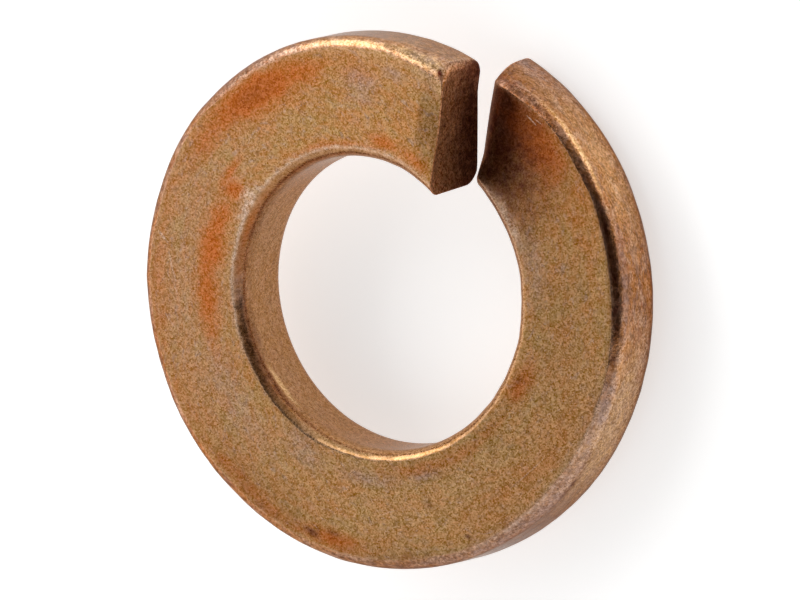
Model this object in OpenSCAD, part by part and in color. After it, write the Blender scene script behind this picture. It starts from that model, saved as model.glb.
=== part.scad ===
// Spring lock washer: one turn of keystone wire coiled on edge, sheared through
// on a skewed line, with the raised end standing above the seated end.
// Millimetres. +Z is the bore axis, z = 0 is the lowest point of the seated end.

/* [Bore and rim] */
// Diameter of the bore that the bolt passes through
bore_d = 8.08; // [7:0.02:10]
// Width of the wire from the bore to the rim
wire_w = 3.27; // [2.6:0.01:4]

/* [Keystone section] */
// Thickness of the wire beside the bore
bore_t = 2.24; // [1.8:0.02:3]
// Thickness of the wire beside the rim
rim_t = 1.98; // [1.6:0.02:2.6]
// Radius of the two upper corners
upper_r = 0.41; // [0.2:0.01:0.5]
// Radius of the two lower corners
lower_r = 0.54; // [0.2:0.01:0.65]
// Slope at which a corner leaves its face, along a crisp line
crisp_angle = 20; // [0:1:35]

/* [Coil] */
// Height of the raised end above the seated end
end_rise = 2.15; // [1.8:0.05:3]
// Where the cut crosses the middle of the wire, turned clockwise from +Y
cut_turn = 28; // [0:1:90]
// Skew of the cut from the radial line there
cut_skew = 21.8; // [6:0.2:28]
// Clear width of the cut at the bore
bore_gap = 0.02; // [0.02:0.01:0.3]
// Clear width of the cut at the rim
rim_gap = 0.16; // [0.02:0.01:0.5]

/* [Seated end] */
// Length of the roll-over that the shear left on top
seated_roll_len = 1.15; // [0.4:0.05:1.6]
// Its depth where the face meets the rim's corner
seated_roll_rim = 0.52; // [0.1:0.01:0.8]
// Its depth over the middle of the wire
seated_roll_mid = 0.4; // [0.1:0.01:0.8]
// Its depth beside the bore
seated_roll_bore = 0.05; // [0:0.01:0.6]
// Length over which its rim corner is drawn in
seated_draw_len = 2.4; // [0.8:0.1:3]
// How far the rim corner is drawn in towards the bore
seated_draw = 0.44; // [0:0.02:0.7]
// How far the foot of the rim is set back from the cut
seated_setback = 0.2; // [0:0.02:0.4]

/* [Raised end] */
// Length of the roll-over that the shear left underneath
raised_roll_len = 0.6; // [0.2:0.05:1.2]
// Its depth over the half of the wire beside the rim
raised_roll = 0.2; // [0:0.01:0.5]
// How far the half beside the bore is dragged down instead
raised_drag = 0.13; // [0:0.01:0.3]
// How far the foot of the bore is drawn out towards the rim
raised_draw = 0.08; // [0:0.02:0.3]

/* [Hidden] */
bore_r = bore_d / 2;
rim_r = bore_r + wire_w;
mid_r = (bore_r + rim_r) / 2;
// how much each face of the keystone falls back from bore to rim
face_fall = (bore_t - rim_t) / 2;
// the coil stands proud of both true walls by this much before they are cut
wall_skin = 0.02;
// each corner is an arc to this slope, then runs out along its tangent
corner_end = 80;
corner_steps = 4;
// places across each face between its two crisp lines
face_steps = 5;
// the middle of the cut: direction of its normal and distance from the axis
cut_dir = cut_skew - cut_turn;
cut_offset = mid_r * sin(cut_skew);
// how far out along the cut its line crosses the bore and the rim
cut_bore = sqrt(bore_r * bore_r - cut_offset * cut_offset);
cut_rim = sqrt(rim_r * rim_r - cut_offset * cut_offset);
// half the angle that the two end faces open by towards the rim
flare = atan((rim_gap - bore_gap) / 2 / (cut_rim - cut_bore));
// each end face's plane as [direction of its normal, distance from the axis]
raised_cut = [
    cut_dir + flare,
    (cut_offset - bore_gap / 2) * cos(flare) + cut_bore * sin(flare)
];
seated_cut = [
    cut_dir - flare,
    (cut_offset + bore_gap / 2) * cos(flare) - cut_bore * sin(flare)
];
// closely spaced rings beside each end, then even ones round the coil
end_span = 16;
end_rings = 9;
even_rings = 72;
end_spread = 1.5;
// an end's roll-over reaches no further round the coil than this
roll_reach = 90;
// 1 would end a roll-over in an upright edge
roll_round = 0.97;
// depth of each roll-over at places across the wire, 0 at the bore and 1 at the rim
seated_depths = [
    [0, seated_roll_bore],
    [0.25, seated_roll_mid],
    [0.67, seated_roll_mid],
    [0.92, seated_roll_rim],
    [1, 0.8 * seated_roll_rim]
];
raised_depths = [
    [0.15, -raised_drag],
    [0.4, 0],
    [0.75, raised_roll],
    [1, 0.25 * raised_roll]
];
// the draw-in starts gently: the power of its fall from the cut
draw_power = 1.2;
// the foot of the rim is drawn in by this share of what its top is
draw_share_below = 0.08;
overshoot = 1;
wall_facets = 180;

// Place on a corner's arc where it slopes at angle a.
function on_corner(wall_r, face_z, r, side, up, a) = [
    wall_r - side * r * (1 - sin(a)),
    face_z - up * r * (cos(crisp_angle) - cos(a))
];

// One corner of the section: its arc and its run-out, from face to wall.
function corner(wall_r, face_z, r, side, up) =
    let (
        step = (corner_end - crisp_angle) / corner_steps,
        last = on_corner(wall_r, face_z, r, side, up, corner_end),
        out = wall_r + side * wall_skin
    )
    [
        for (k = [0 : corner_steps])
            on_corner(wall_r, face_z, r, side, up, crisp_angle + k * step),
        [out, last[1] - up * abs(out - last[0]) * tan(corner_end)]
    ];

// A list in the opposite order.
function reversed(list) = [for (k = [len(list) - 1 : -1 : 0]) list[k]];

// Evenly spaced places on a face, between two points.
function face(a, b) =
    [for (k = [1 : face_steps]) a + (b - a) * k / (face_steps + 1)];

// Closed section as [radius, height, 1 on the upper face or 0 on the lower].
function tagged(points, upper) = [for (p = points) [p[0], p[1], upper]];
rim_top = corner(rim_r, bore_t - face_fall, upper_r, 1, 1);
rim_foot = reversed(corner(rim_r, face_fall, lower_r, 1, -1));
bore_foot = corner(bore_r, 0, lower_r, -1, -1);
bore_top = reversed(corner(bore_r, bore_t, upper_r, -1, 1));
section = concat(
    tagged(rim_top, 1),
    tagged(rim_foot, 0),
    tagged(face(rim_foot[len(rim_foot) - 1], bore_foot[0]), 0),
    tagged(bore_foot, 0),
    tagged(bore_top, 1),
    tagged(face(bore_top[len(bore_top) - 1], rim_top[0]), 1)
);
section_count = len(section);

// Angle at which radius r meets an end face's plane.
function cut_angle(r, plane) = plane[0] + acos(plane[1] / r);

// Distance of a point at radius r and this angle in front of a plane.
function beyond(r, angle, plane) = r * cos(angle - plane[0]) - plane[1];

// Turn of each ring from the raised end, in degrees.
full_turn = 360 + cut_angle(bore_r, seated_cut) - cut_angle(bore_r, raised_cut);
end_turns = [for (k = [0 : end_rings]) end_span * pow(k / end_rings, end_spread)];
ring_turns = concat(
    end_turns,
    [for (k = [1 : even_rings - 1])
        end_span + (full_turn - 2 * end_span) * k / even_rings],
    [for (k = [end_rings : -1 : 0]) full_turn - end_turns[k]]
);
ring_count = len(ring_turns);

// The lowest line of the coil, and its turn when it reaches the seated end.
foot_r = bore_r + lower_r * (1 - sin(crisp_angle));
foot_turn = 360 + cut_angle(foot_r, seated_cut) - cut_angle(bore_r, raised_cut);

// Height of the coil at a turn from the raised end's bore corner.
function coil_z(turn) = end_rise * (foot_turn - turn) / full_turn;

// Share of a roll-over's full depth at a distance from its cut, from 1 to 0.
function roll(distance, len) =
    let (k = min(1, max(0, 1 - distance / len)))
    1 - sqrt(1 - roll_round * k * k);

// Place across the wire: 0 at the bore and 1 at the rim.
function across(r) = min(1, max(0, (r - bore_r) / wire_w));

// Share of a corner's full draw at a distance from its cut.
function draw(distance, len) = pow(min(1, max(0, 1 - distance / len)), draw_power);

// How far back from the seated cut a section point ends.
function setback(p) =
    (1 - p[2]) * seated_setback * max(0, 2 * across(p[0]) - 1);

// One point of the coil: section point p on the ring at this turn.
function coil_point(p, turn) =
    let (
        start = cut_angle(p[0], raised_cut),
        stop = 360 + cut_angle(p[0], seated_cut + [0, setback(p)]),
        angle = start + (stop - start) * turn / full_turn,
        w = across(p[0]),
        near_seated = turn > full_turn - roll_reach,
        near_raised = turn < roll_reach && p[2] == 0,
        seated = beyond(p[0], angle, seated_cut),
        raised = -beyond(p[0], angle, raised_cut),
        sunk = near_seated && p[2] == 1
            ? roll(seated, seated_roll_len) * lookup(w, seated_depths)
            : 0,
        lifted = near_raised
            ? roll(raised, raised_roll_len) * lookup(w, raised_depths)
            : 0,
        z = p[1] + coil_z(angle - cut_angle(bore_r, raised_cut)) - sunk + lifted,
        share = p[2] == 1 ? max(0, 2 * w - 1) : draw_share_below * max(0, 8 * w - 7),
        drawn_in = near_seated
            ? draw(seated, seated_draw_len) * share * seated_draw
            : 0,
        drawn_out = near_raised
            ? draw(raised, raised_roll_len) * max(0, 1 - 4 * w) * raised_draw
            : 0
    )
    [p[0] * cos(angle), p[0] * sin(angle), z]
        - drawn_in * [-sin(seated_cut[0]), cos(seated_cut[0]), 0]
        + drawn_out * [-sin(raised_cut[0]), cos(raised_cut[0]), 0];

// Mean of a list of points: the middle of an end face, on its cut plane.
function mean_point(points) = [
    for (axis = [0 : 2])
        [for (p = points) p[axis]] * [for (p = points) 1 / len(points)]
];

// The outline of the end face at a turn.
function end_outline(turn) = [for (p = section) coil_point(p, turn)];

// The coiled wire, still proud of the bore and the rim.
module coil() {
    points = concat(
        [for (turn = ring_turns, p = section) coil_point(p, turn)],
        [mean_point(end_outline(0)), mean_point(end_outline(full_turn))]
    );
    first_cap = ring_count * section_count;
    sides = [
        for (ring = [0 : ring_count - 2], k = [0 : section_count - 1])
            let (
                next = (k + 1) % section_count,
                a = ring * section_count + k,
                b = ring * section_count + next,
                c = a + section_count,
                d = b + section_count
            )
            each [[a, d, b], [a, c, d]]
    ];
    last = (ring_count - 1) * section_count;
    caps = [
        for (k = [0 : section_count - 1])
            let (next = (k + 1) % section_count)
            each [
                [first_cap, k, next],
                [first_cap + 1, last + next, last + k]
            ]
    ];
    polyhedron(points = points, faces = concat(sides, caps), convexity = 6);
}

// Solid round bar on the washer's axis, longer than the coil is high.
module axis_bar(r) {
    translate([0, 0, -overshoot])
        cylinder(r = r, h = end_rise + bore_t + 2 * overshoot, $fn = wall_facets);
}

// The whole washer: the coil trimmed to its true rim and its true bore.
module spring_washer() {
    color("darkgoldenrod")
        difference() {
            intersection() {
                coil();
                axis_bar(rim_r);
            }
            axis_bar(bore_r);
        }
}

spring_washer();
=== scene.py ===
"""Dresses the spring lock washer: one coil of keystone bronze wire, sheared through.

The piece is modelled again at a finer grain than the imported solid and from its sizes,
except that the cut is a little narrower and the seated end's roll-over a little shallower.
Sizes are millimetres here, turned into metres when a mesh is made. Angles run round the
bore axis from the raised end to the seated end, so the coil falls as its turn grows.
"""

import logging
import math
from dataclasses import dataclass, field
from enum import Enum, IntEnum
from typing import Dict, Optional, Tuple, Union

import bpy
import numpy as np
from mathutils import Matrix, Vector

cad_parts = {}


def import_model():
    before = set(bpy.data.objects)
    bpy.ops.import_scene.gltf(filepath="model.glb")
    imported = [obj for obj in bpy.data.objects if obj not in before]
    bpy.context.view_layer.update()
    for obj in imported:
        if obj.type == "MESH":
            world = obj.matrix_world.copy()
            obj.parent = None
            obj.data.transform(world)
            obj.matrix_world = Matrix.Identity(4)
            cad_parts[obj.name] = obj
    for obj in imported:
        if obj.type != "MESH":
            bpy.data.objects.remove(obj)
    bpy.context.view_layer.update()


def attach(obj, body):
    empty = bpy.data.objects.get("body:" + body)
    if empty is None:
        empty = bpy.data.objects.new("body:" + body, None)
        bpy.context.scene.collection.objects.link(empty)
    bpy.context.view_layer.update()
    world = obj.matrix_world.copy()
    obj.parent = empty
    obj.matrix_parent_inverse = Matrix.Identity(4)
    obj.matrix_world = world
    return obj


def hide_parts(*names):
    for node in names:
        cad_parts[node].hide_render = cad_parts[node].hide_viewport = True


LOG = logging.getLogger("spring_washer")
MM = 0.001
# a distance, in millimetres, that nothing worked out from distances reaches
FAR = 99.0
TINY = 1e-12
Colour = Tuple[float, float, float]
Axis = Tuple[float, float, float]
WHITE: Colour = (1.0, 1.0, 1.0)


def srgb(red: int, green: int, blue: int) -> Colour:
    """Turn a colour seen on a screen into the linear one that a shader takes.

    Args:
        red: Red, 0 to 255.
        green: Green, 0 to 255.
        blue: Blue, 0 to 255.

    Returns:
        The linear colour, each part 0 to 1.
    """
    parts = (np.array([red, green, blue]) / 255.0).tolist()
    return tuple(p / 12.92 if p <= 0.04045 else ((p + 0.055) / 1.055) ** 2.4 for p in parts)


class Zone(IntEnum):
    """Parts of the wire's section, in the order in which its outline runs."""

    UPPER_FACE = 0
    RIM_CORNER = 1
    RIM_WALL = 2
    RIM_FOOT = 3
    LOWER_FACE = 4
    BORE_FOOT = 5
    BORE_WALL = 6
    BORE_CORNER = 7


class FinishKind(IntEnum):
    """Which finish a mesh face wears, and its place in the piece's material slots."""

    PRESSED = 0
    DRAWN = 1
    SHEARED = 2
    INNER = 3


class Stain(Enum):
    """Kinds of mark on the metal, by the name of the layer that carries them.

    Besides stains and wear, some kinds carry painted light: the dark red-brown kind painted
    shade and painted dark reflections, the bright yellow one painted highlights, and a few
    marks of the orange-brown and grey-violet kinds painted reflections.
    """

    RUST_AND_REFLECTION = "rust_and_reflection"
    UMBER_AND_SHADE = "umber_and_shade"
    LILAC_AND_REFLECTION = "lilac_and_reflection"
    CHALK = "chalk"
    RUB_AND_HIGHLIGHT = "rub_and_highlight"


@dataclass(frozen=True)
class Mark:
    """One soft-edged mark, placed by turn round the coil and girth across the wire.

    Girth is measured over the surface from the crisp line beside the bore: up to about
    2.7 on the upper face, more on the outer corner and the rim, below zero in the bore.
    """

    kind: Stain
    turn: float
    girth: float
    length: float
    width: float
    strength: float
    steepness: float = 1.3
    fall: float = 0.8

    def cover(self, turn: np.ndarray, girth: np.ndarray, wire: "Wire") -> np.ndarray:
        """Strength of the mark at each place.

        Args:
            turn: Turn of each place, in degrees.
            girth: Girth of each place, in millimetres.
            wire: The wire that the mark is on.

        Returns:
            Values from 0 to the mark's strength.
        """
        along = np.radians(turn - self.turn) * wire.reach(self.girth) / self.length
        over = (girth - self.girth) / self.width
        away = (along**2 + over**2) ** self.steepness
        return self.strength * np.exp(-away * self.fall)


@dataclass(frozen=True)
class Scratch:
    """One fine scratch, from one turn and girth to another."""

    turns: Tuple[float, float]
    girths: Tuple[float, float]
    width: float = 0.03
    strength: float = 0.7

    def place(self, reach: float) -> Tuple[Axis, Axis]:
        """Where the scratch starts on the skin laid flat, and how it runs.

        Args:
            reach: Radius that turns an angle into a length, in millimetres.

        Returns:
            The start and the run, in millimetres.
        """
        first, last = (math.radians(turn) * reach for turn in self.turns)
        start, stop = self.girths
        return (first, start, 0.0), (last - first, stop - start, 0.0)


@dataclass(frozen=True)
class Ripple:
    """Smooth unevenness in space: waves in many directions, from a fixed seed."""

    seed: int
    wavelength: float
    count: int = 14
    spread: Tuple[float, float] = (0.6, 1.7)
    size: float = 0.28

    def at(self, places: np.ndarray) -> np.ndarray:
        """Value at each place.

        Args:
            places: Array of points, last axis x, y, z in millimetres.

        Returns:
            Values from 0 to 1, about 0.5 on average.
        """
        dice = np.random.default_rng(self.seed)
        ways = dice.normal(size=(self.count, 3))
        ways /= np.linalg.norm(ways, axis=1)[:, None]
        rates = 2.0 * math.pi / (self.wavelength * dice.uniform(*self.spread, self.count))
        phases = dice.uniform(0.0, 2.0 * math.pi, self.count)
        total = np.zeros(places.shape[:-1])
        for way, rate, phase in zip(ways, rates, phases):
            total += np.sin(places @ way * rate + phase)
        return np.clip(0.5 + total / math.sqrt(self.count) * self.size, 0.0, 1.0)


@dataclass(frozen=True)
class Wire:
    """Keystone section of the wire, in millimetres.

    The skin is how far the redrawn walls stay inside the true ones, line_half half the
    width of a crisp line, and crisp_inset how far that line lies from its wall.
    """

    bore_r: float = 4.04
    width: float = 3.27
    bore_t: float = 2.24
    rim_t: float = 1.98
    upper_r: float = 0.41
    lower_r: float = 0.54
    crisp: float = math.radians(20.0)
    skin: float = 0.002
    line_half: float = 0.018
    crisp_inset: float = 0.27
    rim_margin: float = 0.05

    @property
    def rim_r(self) -> float:
        """Radius of the rim."""
        return self.bore_r + self.width

    @property
    def mid_r(self) -> float:
        """Radius of the middle of the wire."""
        return self.bore_r + self.width / 2.0

    @property
    def fall(self) -> float:
        """How much each face of the keystone falls back from bore to rim."""
        return (self.bore_t - self.rim_t) / 2.0

    def reach(self, girth: float) -> float:
        """Radius that turns an angle into a length at a girth."""
        return self.bore_r + float(np.clip(
            girth + self.crisp_inset, 0.0, self.width - self.rim_margin))


@dataclass(frozen=True)
class Cut:
    """Plane of an end face: direction of its normal, and distance from the axis."""

    heading: float
    distance: float
    inward: float

    def angle_at(self, radius: np.ndarray, inset: np.ndarray) -> np.ndarray:
        """Angle at which a radius meets the plane set back into the wire.

        Args:
            radius: Radii, in millimetres.
            inset: Distances back from the plane, in millimetres.

        Returns:
            Angles in radians.
        """
        return self.heading + np.arccos((self.distance + self.inward * inset) / radius)

    def beyond(self, radius: np.ndarray, angle: np.ndarray) -> np.ndarray:
        """Distance back from the plane into the wire.

        Args:
            radius: Radii, in millimetres.
            angle: Angles, in radians.

        Returns:
            Distances in millimetres.
        """
        return self.inward * (radius * np.cos(angle - self.heading) - self.distance)

    @property
    def out(self) -> np.ndarray:
        """Unit vector out of the wire, square to the plane."""
        return -self.inward * np.array([math.cos(self.heading), math.sin(self.heading), 0.0])


@dataclass
class Stretch:
    """One stretch of the section's outline: radii and heights, a row for each ring."""

    radius: np.ndarray
    height: np.ndarray

    def last(self) -> "Stretch":
        """Its last point alone."""
        return Stretch(self.radius[:, -1:], self.height[:, -1:])

    def back(self) -> "Stretch":
        """The same points in the opposite order."""
        return Stretch(self.radius[:, ::-1], self.height[:, ::-1])

    def towards(self, other: "Stretch", shares: np.ndarray) -> "Stretch":
        """Points on the straight line from this one point to another.

        Args:
            other: The stretch, of one point, where the line ends.
            shares: How far along the line each new point lies, 0 to 1.

        Returns:
            The new points.
        """
        return Stretch(self.radius + (other.radius - self.radius) * shares,
                       self.height + (other.height - self.height) * shares)


@dataclass(frozen=True)
class Corner:
    """One corner of the section, between a face and a wall.

    Its side is 1 at the rim and -1 at the bore, its up 1 on the upper face and -1 on the
    lower. Its radius wanders by a share of itself round the coil, in slow and quick waves.
    The drop says how much further it reaches down its wall than into its face.
    """

    wire: Wire
    side: int
    up: int
    points: int
    seed: int
    wander: float
    drop: float = 1.0
    coil_r: float = 5.0
    slow: float = 2.6
    quick: float = 0.55
    quick_share: float = 0.45
    quick_seed: int = 50

    @property
    def wall_r(self) -> float:
        """Radius of the wall, a skin's depth inside the true one."""
        wire = self.wire
        return wire.rim_r - wire.skin if self.side > 0 else wire.bore_r + wire.skin

    @property
    def face_z(self) -> float:
        """Height of the face beside the wall."""
        fall = self.wire.fall if self.side > 0 else 0.0
        return self.wire.bore_t - fall - self.wire.skin if self.up > 0 else fall

    def radii(self, turns: np.ndarray) -> np.ndarray:
        """The corner's radius, wandering a little round the coil.

        Args:
            turns: Turn of each ring, in degrees.

        Returns:
            A radius for each ring.
        """
        swing = np.radians(turns)
        places = np.stack([np.cos(swing) * self.coil_r, np.sin(swing) * self.coil_r,
                           swing], axis=-1)
        slow = Ripple(self.seed, self.slow).at(places) - 0.5
        quick = Ripple(self.seed + self.quick_seed, self.quick).at(places) - 0.5
        plain = self.wire.upper_r if self.up > 0 else self.wire.lower_r
        return plain * (1.0 + self.wander * (slow + self.quick_share * quick))

    def arc(self, radius: np.ndarray) -> Stretch:
        """Round the corner, from the crisp line to the wall.

        Args:
            radius: Corner radius of each ring.

        Returns:
            The corner's points.
        """
        wire, reach = self.wire, radius[:, None]
        first = wire.crisp + wire.line_half / float(radius.mean())
        slopes = np.linspace(first, math.pi / 2.0, self.points)
        sunk = self.drop * reach * (math.cos(wire.crisp) - np.cos(slopes))
        return Stretch(self.wall_r - self.side * reach * (1.0 - np.sin(slopes)),
                       self.face_z - self.up * sunk)

    def crisp_line(self, arc: Stretch, rise: Union[float, np.ndarray] = 0.0) -> Stretch:
        """Point of the face just before the corner's crisp line.

        Args:
            arc: The corner's points.
            rise: Height of a raised lip along the line.

        Returns:
            The point.
        """
        step = self.wire.line_half
        return Stretch(arc.radius[:, :1] - self.side * 2.0 * step,
                       arc.height[:, :1] + self.up * (step * math.sin(self.wire.crisp) + rise))


@dataclass
class Outline:
    """Section points of every ring: radius, height, share of upper, girth and zone."""

    radius: np.ndarray
    height: np.ndarray
    upper: np.ndarray
    girth: np.ndarray
    zone: np.ndarray


@dataclass
class SpringWasher:
    """The whole washer: one coil, its two sheared ends, the marks of its making and painted
    shade, highlights and reflections.
    """

    name: str = "coiled_washer"
    node: str = "spring_washer"
    wire: Wire = field(default_factory=Wire)
    end_rise: float = 2.15
    # the cut: its place and skew in degrees, and its clear width at the bore and the rim
    cut_turn: float = 28.0
    cut_skew: float = 21.8
    bore_gap: float = 0.02
    rim_gap: float = 0.10
    # the seated end: the roll-over on top, deepest towards the rim, the rim drawn in over
    # a length and eased into a bulging line, and the foot set back from the cut
    seated_roll_len: float = 1.15
    seated_roll_rim: float = 0.45
    seated_roll_mid: float = 0.4
    seated_roll_bore: float = 0.05
    seated_roll_edge: float = 0.8
    seated_roll_at: Tuple[float, ...] = (0.0, 0.25, 0.67, 0.92, 1.0)
    seated_draw_len: float = 2.4
    seated_draw: float = 0.42
    seated_setback: float = 0.15
    seated_flatten: float = 0.7
    seated_bulge: float = 0.2
    draw_share_below: float = 0.08
    draw_power: float = 1.2
    # the raised end: the roll-over underneath, the bore side dragged down, the middle of
    # the face drooping, and the rim's upper corner growing wider towards the cut
    raised_roll_len: float = 0.6
    raised_roll: float = 0.2
    raised_roll_edge: float = 0.25
    raised_roll_at: Tuple[float, ...] = (0.15, 0.4, 0.75, 1.0)
    raised_drag: float = 0.13
    raised_draw: float = 0.08
    raised_droop: float = 0.09
    raised_droop_len: float = 0.7
    raised_corner: float = 0.24
    raised_corner_span: float = 15.0
    # how upright a roll-over ends, and how many degrees from its cut it can reach
    roll_round: float = 0.97
    roll_reach: float = 90.0
    # rings: close ones beside each end, then even ones round the coil
    end_span: float = 16.0
    end_rings: int = 60
    end_spread: float = 1.3
    even_rings: int = 700
    # end faces: the slopes of their rounded edges, the rings inside, and the edge radii
    edge_steps: Tuple[float, ...] = (22.0, 45.0, 68.0, 90.0)
    lid_steps: Tuple[float, ...] = (0.97, 0.92, 0.84, 0.74, 0.62, 0.48, 0.32, 0.16)
    crisp_edge: float = 0.03
    raised_rim_edge: float = 0.17
    seated_edge: float = 0.03
    seated_foot_edge: float = 0.13
    seated_foot_at: Tuple[float, ...] = (3.3, 4.0, 4.7, 5.3)
    edge_blur: int = 6
    dish: float = 0.035
    torn: float = 0.03
    grit: Ripple = Ripple(21, 0.5)
    tear: Ripple = Ripple(22, 1.6)
    # the section: points across its faces and walls, the bore's longer corner, and the
    # raised lip along the rim's crisp line with its fade before the seated end
    upper_points: int = 28
    lower_points: int = 16
    wall_points: int = 13
    bore_drop: float = 1.2
    lip: float = 0.002
    lip_span: float = 24.0
    lip_start: float = 0.3
    # wide and fine dents, shallower underneath
    wide_dent: float = 0.008
    fine_dent: float = 0.005
    foot_dent: float = 0.6
    wide_wave: Ripple = Ripple(31, 2.4)
    fine_wave: Ripple = Ripple(32, 0.45)
    # layers: how far a ring of an end face counts in from its edge, how far its middle
    # does and where marks have faded there, and the painted shade on the raised end's face,
    # darker towards its foot
    lid_step: float = 0.18
    lid_middle: float = 2.4
    lid_fade: float = 0.5
    shade: float = 0.45
    shade_fall: float = 1.3
    shade_most: float = 0.9
    marks: Tuple[Mark, ...] = ()
    finishes: Dict[FinishKind, "Finish"] = field(default_factory=dict)
    # worked out from the sizes: the two end planes, the angle at which the coil starts,
    # its whole turn, where its foot ends, and the zones and girth of its section
    raised: Cut = field(init=False)
    seated: Cut = field(init=False)
    start: float = field(init=False)
    full_turn: float = field(init=False)
    foot_turn: float = field(init=False)
    zones: Tuple[np.ndarray, np.ndarray] = field(init=False)

    def __post_init__(self) -> None:
        """Work out the two end planes, the turns of the coil and its plain section."""
        wire = self.wire
        heading = math.radians(self.cut_skew - self.cut_turn)
        offset = wire.mid_r * math.sin(math.radians(self.cut_skew))
        at_bore = math.sqrt(wire.bore_r**2 - offset**2)
        at_rim = math.sqrt(wire.rim_r**2 - offset**2)
        flare = math.atan((self.rim_gap - self.bore_gap) / 2.0 / (at_rim - at_bore))
        near, far = offset - self.bore_gap / 2.0, offset + self.bore_gap / 2.0
        lean, rest = math.sin(flare), math.cos(flare)
        self.raised = Cut(heading + flare, near * rest + at_bore * lean, -1.0)
        self.seated = Cut(heading - flare, far * rest - at_bore * lean, 1.0)
        self.start = float(self.raised.angle_at(wire.bore_r, 0.0))
        stop = float(self.seated.angle_at(wire.bore_r, 0.0))
        self.full_turn = 2.0 * math.pi + stop - self.start
        foot_r = wire.bore_r + wire.lower_r * (1.0 - math.sin(wire.crisp))
        foot = 2.0 * math.pi + float(self.seated.angle_at(foot_r, 0.0))
        self.foot_turn = foot - self.start
        plain = self.outline(np.zeros(1))
        self.zones = (plain.zone, plain.girth)

    def ring_turns(self) -> np.ndarray:
        """Where the rings stand, close together beside each end.

        Returns:
            The turn of each ring, in degrees.
        """
        whole = math.degrees(self.full_turn)
        shares = np.arange(self.end_rings + 1) / self.end_rings
        close = self.end_span * shares**self.end_spread
        between = np.linspace(self.end_span, whole - self.end_span, self.even_rings + 1)
        return np.concatenate([close, between[1:-1], (whole - close)[::-1]])

    def outline(self, turns: np.ndarray) -> Outline:
        """Section points of every ring, with each corner a little uneven.

        Args:
            turns: Turn of each ring, in degrees.

        Returns:
            The outline, its arrays one row for each ring.
        """
        wire = self.wire
        rim_high = Corner(wire, 1, 1, points=12, seed=3, wander=0.30)
        rim_low = Corner(wire, 1, -1, points=8, seed=4, wander=0.2)
        bore_low = Corner(wire, -1, -1, points=8, seed=5, wander=0.0)
        bore_high = Corner(wire, -1, 1, points=14, seed=6, wander=0.22, drop=self.bore_drop)
        beside_cut = np.clip(1.0 - turns / self.raised_corner_span, 0.0, 1.0)
        rim_top = rim_high.arc(rim_high.radii(turns) + self.raised_corner * beside_cut)
        rim_foot = rim_low.arc(rim_low.radii(turns))
        bore_foot = bore_low.arc(bore_low.radii(turns))
        bore_top = bore_high.arc(bore_high.radii(turns))
        left = (math.degrees(self.full_turn) - turns) / self.lip_span
        lip = self.lip * np.clip(left - self.lip_start, 0.0, 1.0)[:, None]
        upper_face = bore_high.crisp_line(bore_top).towards(
            rim_high.crisp_line(rim_top, lip), np.linspace(0.0, 1.0, self.upper_points))
        lower_face = rim_low.crisp_line(rim_foot).towards(
            bore_low.crisp_line(bore_foot), np.linspace(0.0, 1.0, self.lower_points))
        wall = np.linspace(0.0, 1.0, self.wall_points)[1:-1]
        pieces = [
            (Zone.UPPER_FACE, upper_face, 1.0),
            (Zone.RIM_CORNER, rim_top, 1.0),
            (Zone.RIM_WALL, rim_top.last().towards(rim_foot.last(), wall), 1.0 - wall),
            (Zone.RIM_FOOT, rim_foot.back(), 0.0),
            (Zone.LOWER_FACE, lower_face, 0.0),
            (Zone.BORE_FOOT, bore_foot, 0.0),
            (Zone.BORE_WALL, bore_foot.last().towards(bore_top.last(), wall), wall),
            (Zone.BORE_CORNER, bore_top.back(), 1.0),
        ]
        radius = np.concatenate([part.radius for _, part, _ in pieces], axis=1)
        height = np.concatenate([part.height for _, part, _ in pieces], axis=1)
        counts = [part.radius.shape[1] for _, part, _ in pieces]
        zone = np.repeat([int(zone) for zone, _, _ in pieces], counts)
        upper = np.concatenate([np.ones(n) * share
                                for n, (_, _, share) in zip(counts, pieces)])
        mean_r, mean_z = radius.mean(0), height.mean(0)
        steps = np.hypot(np.diff(mean_r), np.diff(mean_z))
        girth = np.concatenate([[0.0], np.cumsum(steps)])
        around = girth[-1] + math.hypot(mean_r[0] - mean_r[-1], mean_z[0] - mean_z[-1])
        girth = np.where(zone >= Zone.BORE_FOOT, girth - around, girth)
        return Outline(radius, height, upper, girth, zone)

    def roll(self, distance: np.ndarray, length: float) -> np.ndarray:
        """Share of a roll-over's full depth, from 1 at its cut to 0 at its length."""
        share = np.clip(1.0 - distance / length, 0.0, 1.0)
        return 1.0 - np.sqrt(1.0 - self.roll_round * share * share)

    def draw(self, distance: np.ndarray, length: float) -> np.ndarray:
        """Share of a corner's full draw, from 1 at its cut to 0 at its length."""
        return np.clip(1.0 - distance / length, 0.0, 1.0) ** self.draw_power

    def depths(self, across: np.ndarray) -> Tuple[np.ndarray, np.ndarray]:
        """Full depths of the two roll-overs.

        Args:
            across: Places across the wire, 0 at the bore and 1 at the rim.

        Returns:
            How deep the seated end's top sinks, and how far the raised end's foot lifts.
        """
        seated = np.interp(across, self.seated_roll_at, (
            self.seated_roll_bore, self.seated_roll_mid, self.seated_roll_mid,
            self.seated_roll_rim, self.seated_roll_edge * self.seated_roll_rim))
        raised = np.interp(across, self.raised_roll_at, (
            -self.raised_drag, 0.0, self.raised_roll, self.raised_roll_edge * self.raised_roll))
        return seated, raised

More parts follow.
